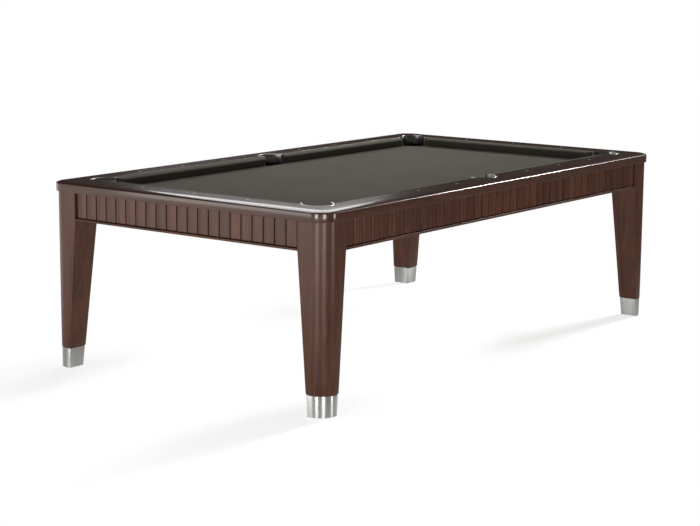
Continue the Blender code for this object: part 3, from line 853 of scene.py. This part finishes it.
def makeRim(pocket):
    settings = rimSettings
    half = pocketSettings["rimBand"] / 2
    middle = (railBottom + railTop) / 2
    path = pocket.mouth(pocketSettings["rimRadius"], pocket.arm - settings["tip"])
    inner = pocket.mouth(pocketSettings["rimRadius"] - 1.0, pocket.arm - settings["tip"])
    ways = [point - base for point, base in zip(inner, path)]
    # past each end of the path the section narrows to a rounded tip
    ends = []
    for end, other in ((0, 1), (-1, -2)):
        out = (path[end] - path[other]).normalized() * settings["tip"]
        tips = quarter(settings["tipSteps"])[1:-1]
        ends.append([(path[end] + out * (1 - up), ways[end], 1 - off) for off, up in tips])
    rows = []
    for base, way, keep in [*ends[0], *((point, way, 1.0) for point, way in zip(path, ways)), *reversed(ends[1])]:
        row = []
        for inward, height in rimOutline():
            if keep < 1.0:
                inward = half + (inward - half) * keep
                height = middle + (height - middle) * (0.93 + 0.07 * keep)
            row.append((*pocket.put([base + way * inward])[0], height))
        rows.append(row)
    return lofted(f"metal_rim_{pocket.name}", rows, rimMetal, 40.0)


bagSettings = {
    "radius": 0.0594,
    "wall": 0.0036,
    "bottom": 0.647,
    "fieldDrop": 0.0175,  # the lip lies this far below the cloth
    "baseRound": 0.014,
    "taper": 0.0022,
    "steps": 64,
    "creases": 0.0005,
    "seed": 11,
}


def bagCurve(pocket, inward, waves, height):
    settings = bagSettings
    top = bedTop - settings["fieldDrop"]
    # taper and creases grow from nothing at the lip
    squeeze = min(1.0, max(0.0, (top - height) / (top - settings["bottom"])) * 1.4)
    points = []
    for i in range(settings["steps"]):
        angle = math.tau * i / settings["steps"]
        far = settings["radius"]
        if math.cos(angle) < -1e-6:
            far = blendedLeast(far, (pocket.shelf - 0.0018) / -math.cos(angle), 0.004)
        crease = sum(size * math.sin(count * angle + start + height * 60.0) for count, size, start in waves)
        far += (crease * settings["creases"] - settings["taper"]) * squeeze - inward
        points.append(Vector((math.cos(angle), math.sin(angle))) * far)
    return pocket.put(points)


def makeBag(pocket, chance):
    settings = bagSettings
    waves = [(count, chance.uniform(0.3, 1.0), chance.uniform(0, math.tau)) for count in (3, 5, 7, 12)]
    low, wall, curl = settings["bottom"], settings["wall"], settings["baseRound"]
    top = bedTop - settings["fieldDrop"]
    side = top - low - curl
    inner = curl - wall
    # (inward, height), from the middle of the underside round to the middle of the inside
    levels = [(curl * off, low + curl * up) for off, up in quarter(6)]
    levels += [(0.0, low + curl + side * k / 8) for k in range(1, 8)]
    levels += arcPoints((wall / 2, top - wall / 2), wall / 2, math.pi, 0, 6)
    levels += [(wall, top - side * k / 8) for k in range(1, 8)]
    levels += [(wall + inner * off, low + wall + inner * up) for off, up in reversed(quarter(6))]
    bm = bmesh.new()
    rows = []
    for inward, height in levels:
        rows.append([bm.verts.new((x, y, height)) for x, y in bagCurve(pocket, inward, waves, height)])
    skin(bm, rows)
    for row, height in ((rows[0], low), (rows[-1], low + wall)):
        centre = sum((vertex.co for vertex in row), Vector()) / len(row)
        ring = row
        for share in (0.66, 0.33):
            inside = [bm.verts.new((*centre.lerp(vertex.co, share).xy, height)) for vertex in row]
            skin(bm, [ring, inside])
            ring = inside
        middle = bm.verts.new((centre.x, centre.y, height))
        for i in range(len(ring)):
            bm.faces.new((ring[i], ring[(i + 1) % len(ring)], middle))
    return addPiece(f"leather_bag_{pocket.name}", bm, leather, 60.0), waves


stitchSettings = {"below": 0.006, "sizes": {"Pitch": 0.0064, "Length": 0.0042, "Thickness": 0.0005}}


def stitchRecipe():
    recipe, size = newRecipe("stitches on a line", stitchSettings["sizes"])
    line = recipe.node("GeometryNodeMeshToCurve", None, {0: recipe.given})
    even = recipe.node("GeometryNodeResampleCurve", {"mode": "LENGTH"}, {"Curve": line, "Length": size["Pitch"]})
    capsule = recipe.node("GeometryNodeMeshUVSphere", None, {"Segments": 8, "Rings": 6, "Radius": 0.5}, out="Mesh")
    scale = recipe.vector(size["Length"], size["Thickness"], size["Thickness"])
    shaped = recipe.node("GeometryNodeTransform", None, {"Geometry": capsule, "Scale": scale})
    tangent = recipe.node("GeometryNodeInputTangent")
    facing = recipe.node("FunctionNodeAlignRotationToVector", {"axis": "X"}, {"Vector": tangent})
    sockets = {"Points": even, "Instance": shaped, "Rotation": facing}
    return closeRecipe(recipe, recipe.node("GeometryNodeInstanceOnPoints", None, sockets), thread)


def makeStitches(pocket, waves, group):
    # one row round the outside of the bag, just under its lip
    sizes = stitchSettings["sizes"]
    height = bedTop - bagSettings["fieldDrop"] - stitchSettings["below"]
    curve = bagCurve(pocket, -sizes["Thickness"] * 0.2, waves, height)
    edges = [(i, (i + 1) % len(curve)) for i in range(len(curve))]
    line = pointPiece(f"bag_stitching_{pocket.name}", [(x, y, height) for x, y in curve], edges)
    return runRecipe(line, group, sizes, 60.0)


stitches = stitchRecipe()
bagChance = random.Random(bagSettings["seed"])
for name, pocket in pockets.items():
    putOn(makeRim(pocket), [f"pocket_rim_{name}"])
    bag, waves = makeBag(pocket, bagChance)
    putOn(bag, [f"pocket_bag_{name}"])
    putOn(makeStitches(pocket, waves, stitches))
print("pocket rims and bags made")


# aprons: upright slats on a backing board

apronSettings = {
    "pitch": 0.0559,
    "groove": 0.0055,
    "grooveDepth": 0.006,
    "recess": 0.009,  # leg face to slat face
    "thickness": 0.018,
    "slats": {"left": 41, "right": 41, "head": 21, "foot": 21},
    "seeds": {"left": 3, "right": 8, "head": 5, "foot": 13},
    "tongue": 0.0036,
}


def apronSizes(side):
    settings = apronSettings
    low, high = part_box(f"apron_{side}")
    return {
        "Slats": settings["slats"][side],
        "Pitch": settings["pitch"],
        "Slat Width": settings["pitch"] - settings["groove"],
        "Slat Thickness": settings["grooveDepth"],
        "Height": high.z - low.z - settings["tongue"],
        "Corner Radius": 0.0011,
        "Unevenness": 0.00012,
        "Board Length": max(high.x - low.x, high.y - low.y),
        "Board Thickness": settings["thickness"] - settings["grooveDepth"],
        "Tongue": settings["tongue"],
        "Seed": settings["seeds"][side],
    }


def slatRecipe():
    recipe, size = newRecipe("slatted apron", apronSizes("left"))
    first = recipe.vector((size["Slats"] - 1.0) * size["Pitch"] * -0.5)
    sockets = {"Count": size["Slats"], "Start Location": first, "Offset": recipe.vector(size["Pitch"])}
    row = recipe.node("GeometryNodeMeshLine", {"mode": "OFFSET"}, sockets)
    # a slat: a rounded section drawn up a straight line
    sockets = {"Width": size["Slat Width"], "Height": size["Slat Thickness"] * 2.0}
    section = recipe.node("GeometryNodeCurvePrimitiveQuadrilateral", {"mode": "RECTANGLE"}, sockets)
    sockets = {"Curve": section, "Count": 3, "Radius": size["Corner Radius"]}
    section = recipe.node("GeometryNodeFilletCurve", {"mode": "POLY"}, sockets)
    sockets = {"Start": (0, 0, 0), "End": recipe.vector(0, 0, size["Height"])}
    spine = recipe.node("GeometryNodeCurvePrimitiveLine", None, sockets)
    sockets = {"Curve": spine, "Profile Curve": section, "Fill Caps": True}
    slat = recipe.node("GeometryNodeCurveToMesh", None, sockets)
    stood = recipe.node("GeometryNodeInstanceOnPoints", None, {"Points": row, "Instance": slat})
    nudge = recipe.vector(0, recipe.chance(-1.0, size["Seed"]) * size["Unevenness"])
    stood = recipe.node("GeometryNodeTranslateInstances", None, {"Instances": stood, "Translation": nudge})
    settings = {"data_type": "FLOAT", "domain": "INSTANCE"}
    sockets = {"Geometry": stood, "Name": "slatTone", "Value": recipe.chance(0.1, size["Seed"] + 50.0)}
    toned = recipe.node("GeometryNodeStoreNamedAttribute", settings, sockets)
    # the board behind them, which runs on a little below
    deep = recipe.vector(size["Board Length"], size["Board Thickness"], size["Height"] + size["Tongue"])
    board = recipe.node("GeometryNodeMeshCube", None, {"Size": deep}, out="Mesh")
    back = recipe.vector(0, size["Board Thickness"] * -0.5, (size["Height"] - size["Tongue"]) * 0.5)
    return closeRecipe(recipe, recipe.joined(toned, recipe.moved(board, back)), slatWood)


def makeApron(side, reach, angle, group):
    settings = apronSettings
    apron = runRecipe(pointPiece(f"slatted_apron_{side}", []), group, apronSizes(side), 25.0)
    place = spun((0, reach - settings["recess"] - settings["grooveDepth"]), angle)
    return turn(apron, angle, (*place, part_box(f"apron_{side}")[0].z + settings["tongue"]))


mouldingSettings = {"recess": 0.003, "round": 0.0032, "backRound": 0.001}


def makeMoulding(side, reach, angle):
    settings = mouldingSettings
    low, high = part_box(f"moulding_{side}")
    long, deep, _ = sorted(high - low, reverse=True)
    front = reach - settings["recess"]
    back = front - deep
    corners = ((back, low.z), (front, low.z), (front, high.z), (back, high.z))
    radii = [settings[key] for key in ("backRound", "round", "round", "backRound")]
    outline = filleted(corners, radii, [5] * 4)
    rows = [[(x, y, z) for y, z in outline] for x in (-long / 2, long / 2)]
    material = longMouldWood if side in ("left", "right") else endMouldWood
    return turn(lofted(f"wood_moulding_{side}", rows, material), angle)


slats = slatRecipe()
for side, angle in sideAngles.items():
    reach = legOutY if side in ("left", "right") else legOutX
    putOn(makeApron(side, reach, angle, slats), [f"apron_{side}"])
    putOn(makeMoulding(side, reach, angle), [f"moulding_{side}"])
print("aprons and mouldings made")


# legs: in a leg's own plan, the outer corner is at the origin and the wood lies at -X and -Y

legSettings = {
    "footWidth": 0.0845,
    "cornerRadius": 0.0675,
    "cornerSteps": 22,
    "arris": 0.0022,  # rounding of the other three corners
    "shadowGap": 0.0023,
    "shadowInset": 0.004,
    "notch": 0.0822,
    "notchBottom": 0.645,
    "taperTop": 0.6385,
    "break": 0.0008,
}
capSettings = {"inset": 0.002, "bottom": 0.0015, "edge": 0.0011}


def legOutline(height, inset):
    settings = legSettings
    share = min(1.0, height / settings["taperTop"])
    far = inset - settings["footWidth"] - (legWidth - settings["footWidth"]) * share
    small = settings["arris"]
    radii = (small, small, settings["cornerRadius"] - inset, small)
    corners = ((far, far), (-inset, far), (-inset, -inset), (far, -inset))
    return filleted(corners, radii, (4, 4, settings["cornerSteps"], 4))


def makeShaft(name, levels, material, sharp=32.0):
    # levels: (height, how far the section is drawn in there)
    rows = [[(x, y, height) for x, y in legOutline(height, inset)] for height, inset in levels]
    return lofted(name, rows, material, sharp)


def makeLeg(name):
    settings = legSettings
    low, small, size = capTop + settings["shadowGap"], settings["break"], settings["notch"]
    levels = [(capTop + 0.0003, settings["shadowInset"]), (low, settings["shadowInset"]), (low, small)]
    levels += [(low + small * 0.3, small * 0.3), (low + small, 0.0)]
    levels += [(low + (settings["taperTop"] - low) * k / 12, 0.0) for k in range(1, 13)]
    leg = makeShaft(name, [*levels, (legTop, 0.0)], legWood)
    outline = ((-size, -size), (-size - 0.1, -size), (-size - 0.1, -size - 0.1), (-size, -size - 0.1))
    cutter = prism("notch cutter", outline, settings["notchBottom"], legTop + 0.01)
    cutWith(leg, [cutter])
    settle(leg)
    discard([cutter])
    return leg


def makeCap(name, hole):
    inset, low, edge = (capSettings[key] for key in ("inset", "bottom", "edge"))
    flat = inset + 3 * edge  # a row inside each end keeps the shading of the ends flat
    levels = [(low, flat)]
    levels += [(low + edge * up, inset + edge * off) for off, up in quarter(4)]
    levels += [(capTop - edge * off, inset + edge * up) for off, up in quarter(4)]
    cap = makeShaft(name, [*levels, (capTop, flat)], capMetal, 40.0)
    cutWith(cap, [hole])
    return settle(cap, 40.0)


levellerSettings = {
    "padRadius": 0.020,
    "padTop": 0.006,
    "padRound": 0.0012,
    "studRadius": 0.005,
    "studTop": 0.050,
    "threadPitch": 0.0015,
    "threadDepth": 0.0005,
    "steps": 48,
    "clearance": 0.0008,
    "recessTop": 0.008,
    "holeTop": 0.060,
}


def turned(name, profile, steps, material):
    # profile: (radius, height) up the outer side
    rows = []
    for radius, height in profile:
        rows.append([(x, y, height) for x, y in arcPoints((0, 0), radius, 0, math.tau, steps)[:-1]])
    return lofted(name, rows, material, 35.0)


def makeLeveller(name):
    settings = levellerSettings
    pad, top, curl = settings["padRadius"], settings["padTop"], settings["padRound"]
    stud, end = settings["studRadius"], settings["studTop"]
    root, pitch = stud - settings["threadDepth"], settings["threadPitch"]
    profile = arcPoints((pad - curl, curl), curl, -math.pi / 2, 0, 4)
    profile += arcPoints((pad - curl, top - curl), curl, 0, math.pi / 2, 4)
    profile.append((root, top))
    height = top + pitch / 2
    while height < end - pitch:
        profile += [(root, height), (stud, height + pitch / 2)]
        height += pitch
    profile += [(root, end - 0.0004), (root - settings["threadDepth"], end)]
    return turned(name, profile, settings["steps"], zinc)


def makeHole():
    # for the pad's recess and the stud above it
    settings = levellerSettings
    pad, stud = (settings[key] + settings["clearance"] for key in ("padRadius", "studRadius"))
    ledge = settings["recessTop"]
    profile = ((pad, -0.02), (pad, ledge), (stud, ledge), (stud, settings["holeTop"]))
    return turned("leveller hole", profile, settings["steps"], None)


for name, (signX, signY) in corners.items():
    angle = math.atan2(signY, signX) - math.pi / 4
    place = (signX * legOutX, signY * legOutY, 0)
    middle = legSettings["footWidth"] / 2
    hole = turn(makeHole(), 0.0, (-middle, -middle, 0))
    leg = turn(makeLeg(f"wood_leg_{name}"), angle, place)
    cap = turn(makeCap(f"metal_foot_cap_{name}", hole), angle, place)
    discard([hole])
    axis = (place[0] - signX * middle, place[1] - signY * middle, 0)
    leveller = turn(makeLeveller(f"levelling_foot_{name}"), 0.0, axis)
    putOn(leg, [f"leg_{name}"])
    putOn(cap, [f"foot_cap_{name}"])
    putOn(leveller, [f"leveller_{name}"], f"leveller_{name}")
print("legs and feet made")


# bolts that are seen from below

boltSizes = {
    "Head Radius": 0.00735,
    "Head Height": 0.0053,
    "Washer Radius": 0.011,
    "Washer Thickness": 0.0016,
    "Tilt": (0, 0, 0),
    "Seed": 4,
}


def boltRecipe():
    recipe, size = newRecipe("bolts with washers", boltSizes)
    radius, thick = size["Head Radius"], size["Washer Thickness"]
    sockets = {"Vertices": 6, "Radius Bottom": radius, "Radius Top": radius * 0.92, "Depth": size["Head Height"]}
    head = recipe.node("GeometryNodeMeshCone", {"fill_type": "NGON"}, sockets, out="Mesh")
    sockets = {"Vertices": 24, "Radius": size["Washer Radius"], "Depth": thick}
    washer = recipe.node("GeometryNodeMeshCylinder", {"fill_type": "NGON"}, sockets, out="Mesh")
    washer = recipe.moved(washer, recipe.vector(0, 0, thick * 0.5))
    bolt = recipe.joined(recipe.moved(head, recipe.vector(0, 0, thick)), washer)
    sockets = {"Points": recipe.given, "Instance": bolt, "Rotation": size["Tilt"]}
    stood = recipe.node("GeometryNodeInstanceOnPoints", None, sockets)
    around = recipe.vector(0, 0, recipe.chance(0.0, size["Seed"]))
    stood = recipe.node("GeometryNodeRotateInstances", None, {"Instances": stood, "Rotation": around})
    return closeRecipe(recipe, stood, zinc)


def makeBolts(name, places, tilt, group, seed):
    bolts = runRecipe(pointPiece(name, places), group, {**boltSizes, "Tilt": tilt, "Seed": seed}, 35.0)
    putOn(bolts)


def railBoltPlaces():
    # through the slate into the rails, just inside the frame
    line = clothEdge.x - 0.036
    places = [(s * x, t * (noseY - noseX + line)) for s in (-1, 1) for t in (-1, 1) for x in (0.22, 0.56, 0.90)]
    places += [(s * line, t * 0.36) for s in (-1, 1) for t in (-1, 0, 1)]
    return [(x, y, slateBottom) for x, y in places]


def bracketBoltPlaces(name, signX, signY):
    # two on each arm of a corner bracket, on the face that looks into the table
    low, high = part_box(f"corner_bracket_{name}")
    outer = (low.x if signX > 0 else high.x, low.y if signY > 0 else high.y)
    faceX, faceY = outer[0] + signX * 0.099, outer[1] + signY * 0.099
    middle = (low.z + high.z) / 2
    runs = (0.022, 0.066)
    return ([(outer[0] + signX * run, faceY, middle) for run in runs],
            [(faceX, outer[1] + signY * run, middle) for run in runs])


bolts = boltRecipe()
makeBolts("rail_bolts", railBoltPlaces(), (math.pi, 0, 0), bolts, 4)
for name, (signX, signY) in corners.items():
    onX, onY = bracketBoltPlaces(name, signX, signY)
    makeBolts(f"bracket_bolts_{name}_a", onX, (signY * math.pi / 2, 0, 0), bolts, 6)
    makeBolts(f"bracket_bolts_{name}_b", onY, (0, -signX * math.pi / 2, 0), bolts, 9)
print("bolts made")


# the solids that keep their shape get their finish here

keptFinishes = {
    "slate_": slate,
    "frame_beam_left": timberX,
    "frame_beam_right": timberX,
    "frame_beam_head": timberY,
    "frame_beam_foot": timberY,
    "frame_cross_": timberY,
    "corner_bracket_": zinc,
}
for start, material in keptFinishes.items():
    for name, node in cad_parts.items():
        if name.startswith(start):
            node.data.materials.clear()
            node.data.materials.append(material)
print("kept solids finished")


# floor, light and camera

floorSettings = {
    "size": 60.0,
    "colour": (0.5, 0.5, 0.5),
    "glow": 0.68,
    "shadowReach": (0.4, 0.95),  # metres from a foot over which its shadow fades out
    "shadowShift": 0.45,  # how far the shadows lie towards the head end
    "nearTable": (0.35, 1.6),  # metres from the table over which its mirror image dims
    "mirrored": (0.50, 0.16),
    "headEnd": (0.1, 1.4),  # metres past the head end over which it gets brighter again
    "headGlow": 1.25,
}
worldSettings = {"seen": 1.0, "soft": 0.36, "reflected": 0.04}
cameraSettings = {
    "place": (-6.49991, -4.75952, 1.77939),
    "heading": 36.904,
    "down": 10.066,
    "roll": 0.386,
    "lens": 92.17,
}
# size is (width, height); each lamp looks at a place on the table
lampSettings = {
    "key": {"from": (7.2, -1.2, 5.4), "at": (0.4, 0.0, 0.7), "size": (1.3, 1.3), "power": 460},
    "back": {"from": (0.6, 1.1, 2.35), "at": (-1.2, -0.6, 0.8), "size": (1.35, 2.2), "power": 21},
    "left wall": {"from": (-5.4, 2.6, 1.3), "at": (-1.3, 0.0, 0.6), "size": (2.6, 2.6), "power": 66},
    "strip one": {"from": (-5.2, -1.2, 0.38), "at": (-1.3, -0.7, 0.38), "size": (1.0, 0.72), "power": 39},
    "strip two": {"from": (-3.4, -3.6, 0.38), "at": (-1.3, -0.7, 0.38), "size": (1.0, 0.72), "power": 37},
    "strip three": {"from": (0.6, -4.6, 0.38), "at": (-1.2, -0.7, 0.38), "size": (0.7, 0.72), "power": 25},
}


def makeFloor():
    settings = floorSettings
    half = settings["size"] / 2
    near, distant = settings["mirrored"]
    bm = bmesh.new()
    bm.faces.new([bm.verts.new((x, y, 0)) for x, y in ((-half, -half), (half, -half), (half, half), (-half, half))])
    floor = addPiece("studio_floor", bm, None)
    shade = newShade("studio floor")
    split = shade.node("ShaderNodeSeparateXYZ", None, {0: shade.place})
    x, y = (shade.also(split, i) for i in (0, 1))
    acrossX, acrossY = shade.maths("ABSOLUTE", x), shade.maths("ABSOLUTE", y)
    # shadows stay close to the feet, as on an overlit studio floor
    shifted = shade.maths("ABSOLUTE", x + settings["shadowShift"])
    foot = shade.vector(shifted - (legOutX - 0.05), (acrossY - (legOutY - 0.05)) * 3.0)
    away = shade.node("ShaderNodeVectorMath", {"operation": "LENGTH"}, {0: foot}, out="Value")
    clear = shade.fade(away, *settings["shadowReach"])
    # in a mirror the floor is bright only beside the table
    far = shade.fade(shade.maths("MAXIMUM", acrossX - legOutX, acrossY - legOutY), *settings["nearTable"])
    headward = shade.fade(y * 0.5 - x - legOutX, *settings["headEnd"])
    mirrored = (1.0 - far) * (near - distant) + distant + headward * far * (settings["headGlow"] - distant)
    paint = shade.node("ShaderNodeBsdfDiffuse", None, {"Color": settings["colour"]})
    glow, white, dim = (shade.node("ShaderNodeEmission", None, {"Color": (1, 1, 1), "Strength": strength})
                        for strength in (settings["glow"], 1.0, mirrored))
    lit = shade.node("ShaderNodeAddShader", None, {0: paint, 1: glow})
    seen = shade.node("ShaderNodeMixShader", None, {0: clear, 1: lit, 2: white})
    rays = shade.node("ShaderNodeLightPath", out="Is Glossy Ray")
    both = shade.node("ShaderNodeMixShader", None, {0: rays, 1: seen, 2: dim})
    shade.node("ShaderNodeOutputMaterial", None, {"Surface": both})
    floor.data.materials.append(shade.material)


def makeWorld():
    world = bpy.data.worlds.new("studio")
    bpy.context.scene.world = world
    world.use_nodes = True
    air = Tree(world.node_tree)
    camera = air.node("ShaderNodeLightPath", out="Is Camera Ray")
    glossy = air.also(camera, "Is Glossy Ray")
    unseen = glossy * worldSettings["reflected"] + (1.0 - glossy) * worldSettings["soft"]
    strength = camera * worldSettings["seen"] + (1.0 - camera) * unseen
    sky = air.node("ShaderNodeBackground", None, {"Color": (1, 1, 1), "Strength": strength})
    air.node("ShaderNodeOutputWorld", None, {"Surface": sky})


def makeLamps():
    for name, settings in lampSettings.items():
        light = bpy.data.lights.new(name, "AREA")
        light.shape = "RECTANGLE"
        light.size, light.size_y = settings["size"]
        light.energy = settings["power"]
        lamp = link(name, light)
        start = Vector(settings["from"])
        aim = Vector(settings["at"]) - start
        lamp.matrix_world = Matrix.Translation(start) @ aim.to_track_quat("-Z", "Y").to_matrix().to_4x4()
        lamp.visible_camera = False


def makeCamera():
    settings = cameraSettings
    heading, down, roll = (math.radians(settings[key]) for key in ("heading", "down", "roll"))
    ahead = Vector((math.cos(heading) * math.cos(down), math.sin(heading) * math.cos(down), -math.sin(down)))
    right = Vector((math.sin(heading), -math.cos(heading), 0))
    up = right.cross(ahead)
    rolledRight = right * math.cos(roll) + up * math.sin(roll)
    rolledUp = up * math.cos(roll) - right * math.sin(roll)
    view = bpy.data.cameras.new("camera")
    view.lens = settings["lens"]
    view.sensor_width = 36.0
    view.clip_end = 200.0
    camera = link("camera", view)
    facing = Matrix((rolledRight, rolledUp, -ahead)).transposed().to_4x4()
    camera.matrix_world = Matrix.Translation(Vector(settings["place"])) @ facing
    bpy.context.scene.camera = camera


makeFloor()
makeWorld()
makeLamps()
makeCamera()
bpy.context.scene.view_settings.view_transform = "Standard"
print("floor, light and camera made")

bpy.context.view_layer.update()
